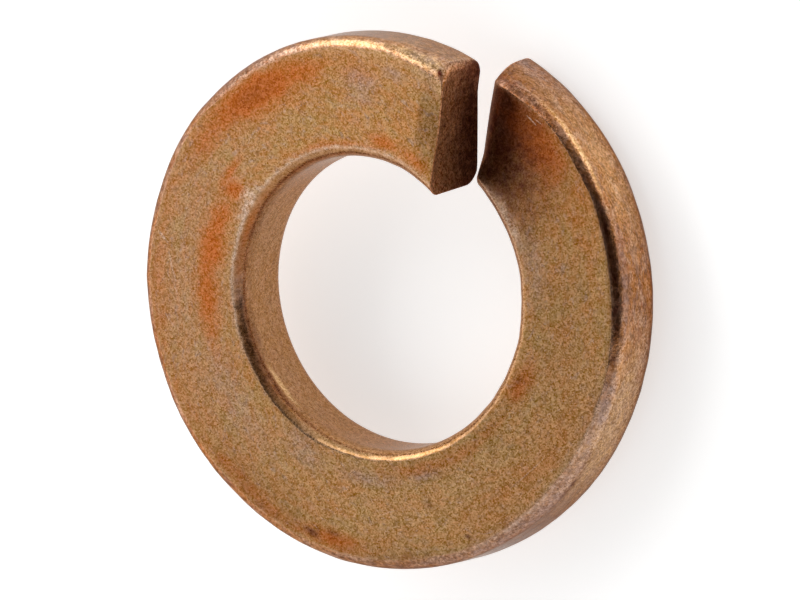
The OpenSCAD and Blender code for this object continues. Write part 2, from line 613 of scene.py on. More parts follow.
    def place(self, radius: np.ndarray, height: np.ndarray, upper: np.ndarray,
              turn: np.ndarray, raised_inset: np.ndarray,
              seated_inset: np.ndarray) -> np.ndarray:
        """Coil section points up: where each one is in space.

        Args:
            radius: Radius of each point.
            height: Height of each point in the section.
            upper: Share of the upper face in each point, 0 to 1.
            turn: Turn of each point, as a share of the whole coil.
            raised_inset: How far the raised end is set back there.
            seated_inset: How far the seated end is set back there.

        Returns:
            The points, in millimetres.
        """
        wire = self.wire
        across = np.clip((radius - wire.bore_r) / wire.width, 0.0, 1.0)
        lower = 1.0 - upper
        outer_half = np.clip(2.0 * across - 1.0, 0.0, None)
        setback = lower * self.seated_setback * outer_half
        first = self.raised.angle_at(radius, raised_inset)
        last = 2.0 * math.pi + self.seated.angle_at(radius, seated_inset + setback)
        angle = first + (last - first) * turn
        reach = math.radians(self.roll_reach) / self.full_turn
        to_seated = np.where(turn > 1.0 - reach, self.seated.beyond(radius, angle), FAR)
        to_raised = np.where(turn < reach, self.raised.beyond(radius, angle), FAR)
        seated_depth, raised_depth = self.depths(across)
        sunk = self.roll(to_seated, self.seated_roll_len) * seated_depth
        lifted = self.roll(to_raised, self.raised_roll_len) * raised_depth
        droop = (self.draw(to_raised, self.raised_droop_len) * self.raised_droop
                 * np.sin(math.pi * across) ** 2)
        level = self.end_rise * (self.foot_turn - (angle - self.start)) / self.full_turn
        z = height + level - upper * (sunk + droop) + lower * lifted
        near = self.draw(to_seated, self.seated_draw_len)
        outer_eighth = np.clip(8.0 * across - 7.0, 0.0, None)
        inner_quarter = np.clip(1.0 - 4.0 * across, 0.0, None)
        foot = self.draw_share_below * outer_eighth
        drawn_in = near * self.seated_draw * (outer_half * upper + foot * lower)
        drawn_out = (self.draw(to_raised, self.raised_roll_len) * self.raised_draw
                     * lower * inner_quarter)
        seated_way, raised_way = self.seated.heading, self.raised.heading
        x = (radius * np.cos(angle) + drawn_in * math.sin(seated_way)
             - drawn_out * math.sin(raised_way))
        y = (radius * np.sin(angle) - drawn_in * math.cos(seated_way)
             + drawn_out * math.cos(raised_way))
        return self.flatten(np.stack([x, y, z], axis=-1), near)

    def flatten(self, points: np.ndarray, near: np.ndarray) -> np.ndarray:
        """Ease the rim's upper corner into the rim beside the seated end.

        Args:
            points: Points of whole sections, in the outline's order.
            near: Share of the seated end's draw-in at each point.

        Returns:
            The points, those of the corner moved towards one gently bulging line.
        """
        zone, girth = self.zones
        eased = np.isin(zone, (Zone.RIM_CORNER, Zone.RIM_WALL))
        first = np.nonzero(zone == Zone.UPPER_FACE)[0][-1]
        last = np.nonzero(zone == Zone.RIM_FOOT)[0][0]
        along = (girth[eased] - girth[first]) / (girth[last] - girth[first])
        start, stop = points[..., first, :], points[..., last, :]
        line = start[..., None, :] + (stop - start)[..., None, :] * along[:, None]
        spoke = line * np.array([1.0, 1.0, 0.0])
        spoke /= np.linalg.norm(spoke, axis=-1)[..., None]
        line = line + spoke * (self.seated_bulge * np.sin(math.pi * along))[:, None]
        share = (self.seated_flatten * near[..., first])[..., None, None]
        moved = points.copy()
        moved[..., eased, :] += share * (line - points[..., eased, :])
        return moved

    def edges(self, outline: Outline) -> Tuple[np.ndarray, np.ndarray]:
        """How far the edge of each end face is rounded, round the section.

        Args:
            outline: The section.

        Returns:
            Radii for the raised end and for the seated end, one for each section point.
        """
        rim = np.isin(outline.zone, (Zone.RIM_CORNER, Zone.RIM_WALL)).astype(float)
        for _ in range(self.edge_blur):
            rim = (np.roll(rim, 1) + 2.0 * rim + np.roll(rim, -1)) / 4.0
        raised = self.crisp_edge + (self.raised_rim_edge - self.crisp_edge) * rim
        foot = np.interp(outline.girth, self.seated_foot_at, (0.0, 1.0, 1.0, 0.0))
        seated = self.seated_edge + (self.seated_foot_edge - self.seated_edge) * foot
        return raised, seated

    def end_ring(self, cut: Cut, outline: Outline, inset: np.ndarray) -> np.ndarray:
        """The section's points on an end's plane, or set back from it.

        Args:
            cut: The end's plane.
            outline: The section.
            inset: How far each point is set back.

        Returns:
            The points, in millimetres.
        """
        still = np.zeros_like(inset)
        if cut is self.raised:
            row, turn, insets = 0, still, (inset, still)
        else:
            row, turn, insets = -1, np.ones_like(inset), (still, inset)
        return self.place(outline.radius[row], outline.height[row], outline.upper, turn, *insets)

    def lid(self, cut: Cut, outline: Outline,
            edge: np.ndarray) -> Tuple[np.ndarray, np.ndarray]:
        """Rings of points that close an end: its rounded edge, then its torn face.

        Args:
            cut: The end's plane.
            outline: The section.
            edge: Radius of the end's edge, round the section.

        Returns:
            The rings from the edge inwards, and the one point in the middle.
        """
        flat = self.end_ring(cut, outline, np.zeros_like(edge))
        ahead = np.roll(flat, -1, axis=0) - np.roll(flat, 1, axis=0)
        inwards = np.cross(np.tile(cut.out, (len(flat), 1)), ahead)
        inwards /= np.linalg.norm(inwards, axis=1)[:, None]
        if np.sum(inwards * (flat.mean(axis=0) - flat)) < 0.0:
            inwards = -inwards
        rings = []
        for slope in np.radians(self.edge_steps):
            set_back = self.end_ring(cut, outline, edge * (1.0 - math.sin(slope)))
            rings.append(set_back + inwards * (edge * (1.0 - math.cos(slope)))[:, None])
        rim = rings[-1]
        middle = rim.mean(axis=0)
        for step in self.lid_steps:
            points = middle + (rim - middle) * step
            inner = 1.0 - step**3
            depth = self.dish * inner + self.torn * inner * self.grit.at(points)
            depth += self.torn * min(1.0, inner * 3.0) * self.tear.at(points)
            rings.append(points - cut.out * depth[:, None])
        return np.array(rings), middle - cut.out * (self.dish + self.torn)

    def coil(self, outline: Outline, turns: np.ndarray) -> np.ndarray:
        """Points of the coil's skin between its two ends, with its faint dents.

        Args:
            outline: The section.
            turns: Turn of each ring, in degrees.

        Returns:
            The points, as rings by section.
        """
        raised_edge, seated_edge = self.edges(outline)
        share = (turns / math.degrees(self.full_turn))[:, None]
        points = self.place(outline.radius, outline.height, outline.upper[None, :], share,
                            raised_edge[None, :], seated_edge[None, :])
        ahead = np.gradient(points, axis=0)
        over = np.roll(points, -1, axis=1) - np.roll(points, 1, axis=1)
        normal = np.cross(ahead, over)
        normal /= np.linalg.norm(normal, axis=2)[:, :, None] + TINY
        wall = outline.zone == Zone.RIM_WALL
        if np.sum(normal[:, wall] * points[:, wall] * np.array([1.0, 1.0, 0.0])) < 0.0:
            normal = -normal
        dent = (self.wide_dent * self.wide_wave.at(points)
                + self.fine_dent * self.fine_wave.at(points))
        foot = np.isin(outline.zone, (Zone.LOWER_FACE, Zone.BORE_FOOT, Zone.RIM_FOOT))
        dent = np.where(foot[None, :], dent * self.foot_dent, dent)
        return points - normal * dent[:, :, None]

    def kinds(self, outline: Outline, rings: int, lid_rows: int) -> np.ndarray:
        """Finish of each four-sided face.

        Args:
            outline: The section.
            rings: Rings of the coil's skin.
            lid_rows: Rings that close each end.

        Returns:
            The finishes, row after row.
        """
        flat = np.isin(outline.zone, (Zone.UPPER_FACE, Zone.LOWER_FACE))
        in_bore = outline.zone >= Zone.BORE_FOOT
        walls = np.where(in_bore | np.roll(in_bore, -1), FinishKind.INNER, FinishKind.DRAWN)
        side = np.where(flat & np.roll(flat, -1), FinishKind.PRESSED, walls)
        kind = np.tile(side, (rings + 2 * lid_rows - 1, 1))
        kind[:lid_rows] = FinishKind.SHEARED
        kind[lid_rows + rings - 1:] = FinishKind.SHEARED
        return kind.ravel()

    def build(self) -> bpy.types.Object:
        """Make the mesh of the washer, with its layers and a finish for each face.

        Returns:
            The object, at the origin, in metres.
        """
        turns = self.ring_turns()
        outline = self.outline(turns)
        points = self.coil(outline, turns)
        raised_edge, seated_edge = self.edges(outline)
        raised_lid, raised_mid = self.lid(self.raised, outline, raised_edge)
        seated_lid, seated_mid = self.lid(self.seated, outline, seated_edge)
        grid = np.concatenate([raised_lid[::-1], points, seated_lid])
        rows, sides = grid.shape[:2]
        verts = np.concatenate([grid.reshape(-1, 3), raised_mid[None], seated_mid[None]])
        row, col = np.meshgrid(np.arange(rows - 1), np.arange(sides), indexing="ij")
        after = (col + 1) % sides
        quads = np.stack([row * sides + col, row * sides + after,
                          (row + 1) * sides + after, (row + 1) * sides + col], -1)
        quads = quads.reshape(-1, 4)
        ring = np.arange(sides)
        after = (ring + 1) % sides
        first, base = rows * sides, (rows - 1) * sides
        raised_fan = np.stack([np.full(sides, first), after, ring], -1)
        seated_fan = np.stack([np.full(sides, first + 1), base + ring, base + after], -1)
        faces = quads.tolist() + raised_fan.tolist() + seated_fan.tolist()
        mesh = bpy.data.meshes.new(self.name)
        mesh.from_pydata((verts * MM).tolist(), [], faces)
        kinds = np.concatenate([self.kinds(outline, len(turns), len(raised_lid)),
                                np.full(2 * sides, FinishKind.SHEARED)])
        mesh.polygons.foreach_set("material_index", kinds.astype(np.int32))
        mesh.polygons.foreach_set("use_smooth", np.ones(len(faces), bool))
        self.store(mesh, outline, turns, len(raised_lid))
        mesh.update()
        piece = bpy.data.objects.new(self.name, mesh)
        bpy.context.scene.collection.objects.link(piece)
        if self.volume(verts, quads) < 0.0:
            mesh.flip_normals()
        return piece

    def dress(self, piece: bpy.types.Object, effects: "Effects") -> None:
        """Give the washer its finishes, each in the slot of its kind.

        Args:
            piece: The washer.
            effects: The shared node groups.
        """
        for kind in FinishKind:
            piece.data.materials.append(self.finishes[kind].dress(effects))

    @staticmethod
    def volume(verts: np.ndarray, quads: np.ndarray) -> float:
        """Signed volume under the quads, which tells whether they face outwards.

        Args:
            verts: Points, in millimetres.
            quads: Indices of the corners of each four-sided face.

        Returns:
            The volume, below zero where the faces look inwards.
        """
        a, b, c, d = (verts[quads[:, k]] for k in range(4))
        whole = np.einsum("ij,ij->i", a, np.cross(b, c) + np.cross(c, d))
        return float(whole.sum() / 6.0)

    def end_shade(self, outline: Outline) -> np.ndarray:
        """Painted shade on the raised end's face, darker towards its foot.

        Args:
            outline: The section.

        Returns:
            Its cover, for the rings that close the end, from the middle to the edge.
        """
        wire = self.wire
        height = (outline.height[0] - wire.bore_t / 2.0) / wire.bore_t
        reach = np.array((0.0,) + (1.0,) * (len(self.edge_steps) - 1) + self.lid_steps)[::-1]
        shade = self.shade - height[None, :] * reach[:, None] * self.shade_fall
        return np.clip(shade, 0.0, self.shade_most)

    def store(self, mesh: bpy.types.Mesh, outline: Outline, turns: np.ndarray,
              lid_rows: int) -> None:
        """Write the layers that the finishes read onto the mesh's points.

        Args:
            mesh: The mesh.
            outline: The section.
            turns: Turn of each ring, in degrees.
            lid_rows: Rings that close each end.
        """
        sides = len(outline.girth)
        whole = math.degrees(self.full_turn)
        turn = np.concatenate([np.zeros(lid_rows), turns, np.full(lid_rows, whole)])
        turn = np.repeat(turn[:, None], sides, axis=1)
        girth = np.tile(outline.girth, (len(turn), 1))
        along = np.radians(turn) * self.wire.mid_r
        steps_in = np.concatenate([np.arange(lid_rows, 0, -1), np.zeros(len(turns)),
                                   np.arange(1, lid_rows + 1)])
        inner = np.repeat(steps_in[:, None] * self.lid_step, sides, axis=1)
        lay = np.stack([along, girth, inner], -1).reshape(-1, 3)
        middles = [[start, 0.0, self.lid_middle] for start in (0.0, along.max())]
        self.layer(mesh, "lay", np.concatenate([lay, middles]))
        on_skin = np.clip(1.0 - inner / self.lid_fade, 0.0, 1.0)
        for kind in Stain:
            cover = np.zeros_like(turn)
            for mark in self.marks:
                if mark.kind is kind:
                    cover = np.maximum(cover, mark.cover(turn, girth, self.wire))
            cover *= on_skin
            # the raised end's face gets its painted shade, darker towards its foot, in this layer
            if kind is Stain.UMBER_AND_SHADE:
                cover[:lid_rows] = np.maximum(cover[:lid_rows], self.end_shade(outline))
            self.layer(mesh, kind.value, np.concatenate([cover.ravel(), [0.0, 0.0]]))
        half = self.wire.line_half
        rim_line = outline.girth[outline.zone == Zone.UPPER_FACE][-1] + half
        for name, line in (("rim_line", rim_line), ("bore_line", -half)):
            away = np.abs(girth - line)
            self.layer(mesh, name, np.concatenate([away.ravel(), [FAR, FAR]]))

    @staticmethod
    def layer(mesh: bpy.types.Mesh, name: str, values: np.ndarray) -> None:
        """Write one layer of values or vectors onto the mesh's points.

        Args:
            mesh: The mesh.
            name: Name of the layer, by which a finish reads it.
            values: A value or a vector for each point.
        """
        kind, slot = ("FLOAT_VECTOR", "vector") if values.ndim == 2 else ("FLOAT", "value")
        layer = mesh.attributes.new(name, kind, "POINT")
        layer.data.foreach_set(slot, np.ascontiguousarray(values, np.float32).ravel())


Socket = bpy.types.NodeSocket
Sockets = bpy.types.NodeOutputs
Feed = Union[float, Tuple[float, ...], bpy.types.NodeSocket]
Inputs = Dict[Union[str, int], Feed]


class Bench:
    """A node tree under work: adds nodes, sets their sockets and joins them."""

    columns = 12
    spacing = (180.0, -220.0)

    def __init__(self, tree: bpy.types.NodeTree) -> None:
        """Start with the tree's own nodes removed."""
        self.tree, self.count = tree, 0
        self.tree.nodes.clear()

    def add(self, kind: str, inputs: Optional[Inputs] = None,
            **settings: Union[str, bool, bpy.types.NodeTree]) -> bpy.types.Node:
        """Add a node.

        Args:
            kind: Blender's name for the node's type.
            inputs: Values or output sockets for its inputs, by name or number.
            settings: The node's own settings.

        Returns:
            The node.
        """
        node = self.tree.nodes.new(kind)
        self.count += 1
        row, column = divmod(self.count, self.columns)
        node.location = (self.spacing[0] * column, self.spacing[1] * row)
        for name, value in settings.items():
            setattr(node, name, value)
        for name, value in (inputs or {}).items():
            self.feed(node.inputs[name], value)
        return node

    def feed(self, socket: Socket, value: Feed) -> None:
        """Join an output to a socket, or set the socket's own value.

        Args:
            socket: The input socket.
            value: An output socket, a number, or the parts of a vector or a colour.
        """
        if isinstance(value, bpy.types.NodeSocket):
            self.tree.links.new(value, socket)
        elif isinstance(value, tuple) and len(value) == 3 and socket.type == "RGBA":
            socket.default_value = (*value, 1.0)
        else:
            socket.default_value = value

    def math(self, operation: str, *values: Feed, clamp: bool = False) -> Socket:
        """Result of a Math node on up to three values or sockets."""
        inputs = dict(enumerate(values))
        return self.add("ShaderNodeMath", inputs, operation=operation, use_clamp=clamp).outputs[0]

    def times(self, first: Feed, second: Feed, clamp: bool = False) -> Socket:
        """Product of two values or sockets."""
        return self.math("MULTIPLY", first, second, clamp=clamp)

    def smooth(self, value: Feed, low: Feed, high: Feed, first: float = 0.0,
               last: float = 1.0) -> Socket:
        """Result of a smooth Map Range node, from first at low to last at high."""
        inputs = {0: value, 1: low, 2: high, 3: first, 4: last}
        return self.add("ShaderNodeMapRange", inputs, interpolation_type="SMOOTHSTEP").outputs[0]

    def mix(self, share: Feed, under: Feed, over: Feed) -> Socket:
        """Value of a Mix node: over laid on under by a share."""
        return self.add("ShaderNodeMix", {0: share, 2: under, 3: over},
                        data_type="FLOAT").outputs[0]

    def blend(self, share: Feed, under: Feed, over: Feed) -> Socket:
        """Colour of a Mix node: over laid on under by a share."""
        return self.add("ShaderNodeMix", {0: share, 6: under, 7: over},
                        data_type="RGBA").outputs[2]

    def vector(self, operation: str, *values: Feed) -> Socket:
        """Vector that a Vector Math node gives for one or two vectors."""
        inputs = dict(enumerate(values))
        return self.add("ShaderNodeVectorMath", inputs, operation=operation).outputs[0]

    def scaled(self, vector: Feed, factor: Feed) -> Socket:
        """A vector times a factor."""
        return self.add("ShaderNodeVectorMath", {0: vector, "Scale": factor},
                        operation="SCALE").outputs[0]

    def measure(self, operation: str, first: Feed, second: Feed) -> Socket:
        """Value that a Vector Math node gives for two vectors."""
        return self.add("ShaderNodeVectorMath", {0: first, 1: second},
                        operation=operation).outputs["Value"]

    def noise(self, place: Feed, scale: Feed, detail: float, roughness: float = 0.5,
              distortion: float = 0.0) -> Socket:
        """Value of a Noise Texture.

        Args:
            place: Where to read it.
            scale: How many of its waves go to a unit of length.
            detail: How many finer layers it has.
            roughness: How strong the finer layers are.
            distortion: How much it is warped.

        Returns:
            The value's socket.
        """
        return self.add("ShaderNodeTexNoise", {
            "Vector": place, "Scale": scale, "Detail": detail, "Roughness": roughness,
            "Distortion": distortion}).outputs[0]

    def layer(self, name: str) -> Socket:
        """Value of a named layer of the mesh."""
        return self.add("ShaderNodeAttribute", attribute_name=name).outputs["Fac"]


class Effect:
    """A shader node group with named sockets, placed in materials by name."""

    title = "effect"
    inputs: Tuple[Tuple[str, str], ...] = ()
    outputs: Tuple[Tuple[str, str], ...] = ()

    def __init__(self) -> None:
        """Make the group's sockets and its nodes."""
        self.tree = bpy.data.node_groups.new(self.title, "ShaderNodeTree")
        for name, kind in self.inputs:
            self.tree.interface.new_socket(name, in_out="INPUT", socket_type=kind)
        for name, kind in self.outputs:
            self.tree.interface.new_socket(name, in_out="OUTPUT", socket_type=kind)
        bench = Bench(self.tree)
        source = bench.add("NodeGroupInput")
        results = self.wire_up(bench, source.outputs)
        bench.add("NodeGroupOutput", results)

    def wire_up(self, bench: Bench, given: Sockets) -> Dict[str, Feed]:
        """Make the nodes between the group's inputs and outputs.

        Args:
            bench: The group's bench.
            given: The group's inputs.

        Returns:
            What goes to each of the group's outputs, by name.
        """
        raise NotImplementedError

    def use(self, bench: Bench, **values: Feed) -> Sockets:
        """Place the group in a material.

        Args:
            bench: The material's bench.
            values: Inputs by name, with _ for a space.

        Returns:
            The group node's outputs.
        """
        node = bench.add("ShaderNodeGroup", node_tree=self.tree)
        for name, value in values.items():
            bench.feed(node.inputs[name.replace("_", " ")], value)
        return node.outputs


FLOAT, COLOUR, VECTOR = "NodeSocketFloat", "NodeSocketColor", "NodeSocketVector"


class OxideGrain(Effect):
    """Crystals of oxide: each grain a little lighter or darker than the next."""

    title = "oxide_grain"
    inputs = (("Place", VECTOR), ("Fineness", FLOAT), ("Colour", COLOUR), ("Contrast", FLOAT),
              ("Clouding", FLOAT))
    outputs = (("Colour", COLOUR), ("Height", FLOAT), ("Grain", FLOAT))
    cloud_share, cell_height = 0.35, 0.6
    darkest, grey_share, least = -0.85, 0.38, 0.002

    def wire_up(self, bench: Bench, given: Sockets) -> Dict[str, Feed]:
        """Random cells and soft noise set each grain's tone, with nearly the same hue.

        Args:
            bench: The group's bench.
            given: The group's inputs.

        Returns:
            What goes to each of the group's outputs, by name.
        """
        place, fineness, base = given["Place"], given["Fineness"], given["Colour"]
        cells = bench.add("ShaderNodeTexVoronoi", {"Vector": place, "Scale": fineness},
                          voronoi_dimensions="3D", feature="F1").outputs
        chance = bench.add("ShaderNodeSeparateColor", {0: cells["Color"]}).outputs[0]
        cloud = bench.noise(place, bench.times(fineness, self.cloud_share),
                            detail=3.0, roughness=0.7)
        crystal = bench.times(bench.math("SUBTRACT", chance, 0.5), 2.0)
        soft = bench.times(bench.math("SUBTRACT", cloud, 0.5), given["Clouding"])
        tone = bench.times(bench.math("ADD", crystal, soft), given["Contrast"])
        tone = bench.math("MAXIMUM", tone, self.darkest)
        grey = bench.add("ShaderNodeRGBToBW", {0: base}).outputs[0]
        step = bench.scaled(bench.blend(self.grey_share, base, grey), tone)
        toned = bench.vector("MAXIMUM", bench.vector("ADD", step, base), (self.least,) * 3)
        height = bench.math("ADD", bench.times(cells["Distance"], self.cell_height), cloud)
        return {"Colour": toned, "Height": height, "Grain": chance}


class ScaleMottle(Effect):
    """Patches of scale, drawn out along the wire."""

    title = "scale_mottle"
    inputs = (("Lay", VECTOR), ("Size", FLOAT), ("Colour", COLOUR), ("Patch", COLOUR),
              ("Level", FLOAT), ("Softness", FLOAT), ("Amount", FLOAT), ("Seed", FLOAT))
    outputs = (("Colour", COLOUR), ("Height", FLOAT))

    def wire_up(self, bench: Bench, given: Sockets) -> Dict[str, Feed]:
        """Warped noise above a level makes the patches.

        Args:
            bench: The group's bench.
            given: The group's inputs.

        Returns:
            What goes to each of the group's outputs, by name.
        """
        rate = bench.math("DIVIDE", 1.0, given["Size"])
        shift = bench.add("ShaderNodeCombineXYZ", {axis: given["Seed"] for axis in range(3)})
        moved = bench.vector("ADD", given["Lay"], shift.outputs[0])
        noise = bench.noise(moved, rate, detail=5.0, roughness=0.62, distortion=0.5)
        low = bench.math("SUBTRACT", given["Level"], given["Softness"])
        high = bench.math("ADD", given["Level"], given["Softness"])
        mask = bench.times(bench.smooth(noise, low, high), given["Amount"], clamp=True)
        return {"Colour": bench.blend(mask, given["Colour"], given["Patch"]), "Height": noise}


class SoftStain(Effect):
    """A placed mark that fades out in clouds: stains and wear, and also painted shade,
    highlights and reflections.
    """

    title = "soft_stain_and_painted_light"
    inputs = (("Place", VECTOR), ("Colour", COLOUR), ("Stain", COLOUR), ("Cover", FLOAT),
              ("Fineness", FLOAT), ("Break Up", FLOAT))
    outputs = (("Colour", COLOUR),)
    # the two sizes of cloud: times the fineness, and weight
    clouds = ((1.0, 1.4), (5.0, 0.8))
    broken_to = 0.45

    def wire_up(self, bench: Bench, given: Sockets) -> Dict[str, Feed]:
        """Two sizes of cloud thin the mark's cover before it is laid on.

        Args:
            bench: The group's bench.
            given: The group's inputs.

        Returns:
            What goes to each of the group's outputs, by name.
        """
        place, cover = given["Place"], given["Cover"]
        shares = []
        for rate, weight in self.clouds:
            cloud = bench.noise(place, bench.times(given["Fineness"], rate),
                                detail=3.0, roughness=0.6)
            shares.append(bench.times(bench.math("SUBTRACT", cloud, 0.5), weight))
        uneven = bench.times(bench.math("ADD", *shares), given["Break Up"])
        uneven = bench.times(uneven, bench.smooth(cover, 0.0, self.broken_to))
        mask = bench.math("ADD", cover, uneven, clamp=True)
        return {"Colour": bench.blend(mask, given["Colour"], given["Stain"])}


class ScratchLine(Effect):
    """One fine scratch between two places on the skin."""

    title = "scratch_line"
    inputs = (("Lay", VECTOR), ("Colour", COLOUR), ("Bared", COLOUR), ("Start", VECTOR),
              ("Run", VECTOR), ("Width", FLOAT), ("Strength", FLOAT))
    outputs = (("Colour", COLOUR),)
    # the width at its ends and what its middle adds, the softness of its sides, and how
    # the noise breaks it up: the levels between which it thins, and to what
    tip_width, belly, side = 0.4, 2.4, 0.6
    rate, broken = 9.0, (0.36, 0.56, 0.25, 1.0)

    def wire_up(self, bench: Bench, given: Sockets) -> Dict[str, Feed]:
        """The distance from the line, thinned towards its ends and here and there.

        Args:
            bench: The group's bench.
            given: The group's inputs.

        Returns:
            What goes to each of the group's outputs, by name.
        """
        run = given["Run"]
        rel = bench.vector("SUBTRACT", given["Lay"], given["Start"])
        share = bench.math("DIVIDE", bench.measure("DOT_PRODUCT", rel, run),
                           bench.measure("DOT_PRODUCT", run, run), clamp=True)
        gap = bench.measure("DISTANCE", rel, bench.scaled(run, share))
        middle = bench.times(bench.math("SUBTRACT", 1.0, share), share)
        width = bench.times(given["Width"], bench.math(
            "ADD", self.tip_width, bench.times(middle, self.belly)))
        near = bench.math("SUBTRACT", 1.0, bench.math("DIVIDE", gap, width), clamp=True)
        noise = bench.noise(given["Lay"], self.rate, detail=2.0)
        mask = bench.times(bench.smooth(near, 0.0, self.side), bench.smooth(noise, *self.broken))
        mask = bench.times(mask, given["Strength"], clamp=True)
        return {"Colour": bench.blend(mask, given["Colour"], given["Bared"])}


class EdgeWear(Effect):
    """Metal rubbed along a crisp line, in broken stretches."""

    title = "edge_wear"
    inputs = (("Place", VECTOR), ("Colour", COLOUR), ("Worn", COLOUR), ("Distance", FLOAT),
              ("Width", FLOAT), ("Fineness", FLOAT), ("Amount", FLOAT))
    outputs = (("Colour", COLOUR),)
    # the noise levels between which the wear widens, the widths there, and its softness
    widening, side = (0.35, 0.68, 0.2, 1.9), 0.55

    def wire_up(self, bench: Bench, given: Sockets) -> Dict[str, Feed]:
        """The nearer the line and the higher the noise, the more it is worn.

        Args:
            bench: The group's bench.
            given: The group's inputs.

        Returns:
            What goes to each of the group's outputs, by name.
        """
        noise = bench.noise(given["Place"], given["Fineness"], detail=4.0, roughness=0.7)
        reach = bench.times(given["Width"], bench.smooth(noise, *self.widening))
        near = bench.math("SUBTRACT", 1.0, bench.math("DIVIDE", given["Distance"], reach),
                          clamp=True)
        wear = bench.times(bench.smooth(near, 0.0, self.side), given["Amount"], clamp=True)
        return {"Colour": bench.blend(wear, given["Colour"], given["Worn"])}


@dataclass
class Effects:
    """The node groups that the finishes share."""

    grain: OxideGrain = field(default_factory=OxideGrain)
    mottle: ScaleMottle = field(default_factory=ScaleMottle)
    stain_and_painted_light: SoftStain = field(default_factory=SoftStain)
    scratch: ScratchLine = field(default_factory=ScratchLine)
    wear: EdgeWear = field(default_factory=EdgeWear)


@dataclass(frozen=True)
class Mottle:
    """One layer of patches: its colour, its size in millimetres and its cover."""

    colour: Colour
    size: float
    level: float
    amount: float
    seed: float
    draw: float = 0.6
    softness: float = 0.12


@dataclass(frozen=True)
class Tint:
    """Colour of a kind of mark, and how the clouds in it look."""

    colour: Colour
    fineness: float
    broken: float


# in the order in which they are laid on
TINTS = {
    # this tint paints highlights as well as metal rubbed bright
    Stain.RUB_AND_HIGHLIGHT: Tint(srgb(232, 186, 132), 3.0, 0.6),
    Stain.LILAC_AND_REFLECTION: Tint(srgb(162, 134, 122), 5.0, 1.0),
    Stain.RUST_AND_REFLECTION: Tint(srgb(174, 94, 36), 1.8, 0.7),
    Stain.UMBER_AND_SHADE: Tint(srgb(86, 40, 25), 4.0, 0.7),
    Stain.CHALK: Tint(srgb(202, 174, 154), 7.0, 1.3),
}
BARED = TINTS[Stain.CHALK].colour
WORN = srgb(196, 158, 128)


@dataclass(frozen=True)
class Finish:
    """One finish of the bronze: its colours, grain and gloss."""

    name: str
    colour: Colour
    fineness: float
    contrast: float
    clouding: float
    mottles: Tuple[Mottle, ...]
    line_amount: float
    metallic: float
    roughness: float
    bump: float
    scale_bump: float
    edge_tint: Colour = (0.6, 0.5, 0.45)
    line_width: float = 0.05
    line_fineness: float = 2.6
    gloss_spread: float = 0.12
    scratches: Tuple[Scratch, ...] = ()

    def dress(self, effects: Effects) -> bpy.types.Material:
        """Make the material of this finish.

        Args:
            effects: The shared node groups.

        Returns:
            The material.
        """
        material = bpy.data.materials.new(self.name)
        material.use_nodes = True
        bench = Bench(material.node_tree)
        spot = bench.add("ShaderNodeTexCoord")
        place = bench.vector("MULTIPLY", spot.outputs["Object"], (1.0 / MM,) * 3)
        lay = bench.add("ShaderNodeAttribute", attribute_name="lay").outputs["Vector"]
        colour, relief = self.mottled(effects, bench, lay)
        # each layer lays on its stains and wear, and the painted shade, highlights and
        # reflections it carries
        for kind, tint in TINTS.items():
            colour = effects.stain_and_painted_light.use(
                bench, Place=place, Colour=colour, Stain=tint.colour,
                Cover=bench.layer(kind.value), Fineness=tint.fineness,
                Break_Up=tint.broken)["Colour"]
        for scratch in self.scratches:
            start, run = scratch.place(Wire().mid_r)
            colour = effects.scratch.use(
                bench, Lay=lay, Colour=colour, Bared=BARED, Start=start, Run=run,
                Width=scratch.width, Strength=scratch.strength)["Colour"]
        for line in ("rim_line", "bore_line"):
            colour = effects.wear.use(
                bench, Place=place, Colour=colour, Worn=WORN, Distance=bench.layer(line),
                Width=self.line_width, Fineness=self.line_fineness,
                Amount=self.line_amount)["Colour"]
        grain = effects.grain.use(
            bench, Place=place, Fineness=self.fineness, Colour=colour,
            Contrast=self.contrast, Clouding=self.clouding)
        gloss = bench.math("ADD", self.roughness - self.gloss_spread / 2.0,
                           bench.times(grain["Grain"], self.gloss_spread))
        fine = bench.add("ShaderNodeBump", {
            "Strength": 1.0, "Distance": self.bump * MM, "Height": grain["Height"]})
        scaly = bench.add("ShaderNodeBump", {
            "Strength": 1.0, "Distance": self.scale_bump * MM, "Height": relief,
            "Normal": fine.outputs[0]})
        shader = bench.add("ShaderNodeBsdfPrincipled", {
            "Base Color": grain["Colour"], "Metallic": self.metallic, "Roughness": gloss,
            "Specular Tint": self.edge_tint, "Normal": scaly.outputs[0]})
        bench.add("ShaderNodeOutputMaterial", {"Surface": shader.outputs[0]})
        return material

    def mottled(self, effects: Effects, bench: Bench, lay: Socket) -> Tuple[Feed, Feed]:
        """Lay the finish's patches on its colour.

        Args:
            effects: The shared node groups.
            bench: The material's bench.
            lay: Place on the skin laid flat.

        Returns:
            The colour, and the height of the last patches.
        """
        colour, relief = self.colour, 0.5
        for mottle in self.mottles:
            laid = effects.mottle.use(
                bench, Lay=bench.vector("MULTIPLY", lay, (mottle.draw, 1.0, 1.0)),
                Size=mottle.size, Colour=colour, Patch=mottle.colour, Level=mottle.level,
                Softness=mottle.softness, Amount=mottle.amount, Seed=mottle.seed)
            colour, relief = laid["Colour"], laid["Height"]
        return colour, relief


SCRATCHES = (
    Scratch((347.0, 343.6), (2.44, 2.42), 0.026, 0.8),
    Scratch((344.6, 342.2), (2.52, 2.55), 0.022, 0.5),
    Scratch((101.0, 104.2), (2.56, 2.18), 0.05, 0.6),
    Scratch((106.0, 114.5), (2.12, 1.83), 0.04, 0.45),
    Scratch((114.0, 118.0), (1.95, 1.8), 0.03, 0.4),
    Scratch((121.0, 125.5), (2.3, 2.05), 0.025, 0.4),
    Scratch((64.0, 70.0), (1.35, 1.15), 0.025, 0.4),
    Scratch((30.0, 38.0), (0.9, 1.25), 0.022, 0.4),
    Scratch((246.0, 258.0), (1.9, 2.0), 0.03, 0.35),
    Scratch((206.0, 214.0), (1.5, 1.3), 0.024, 0.3),
)

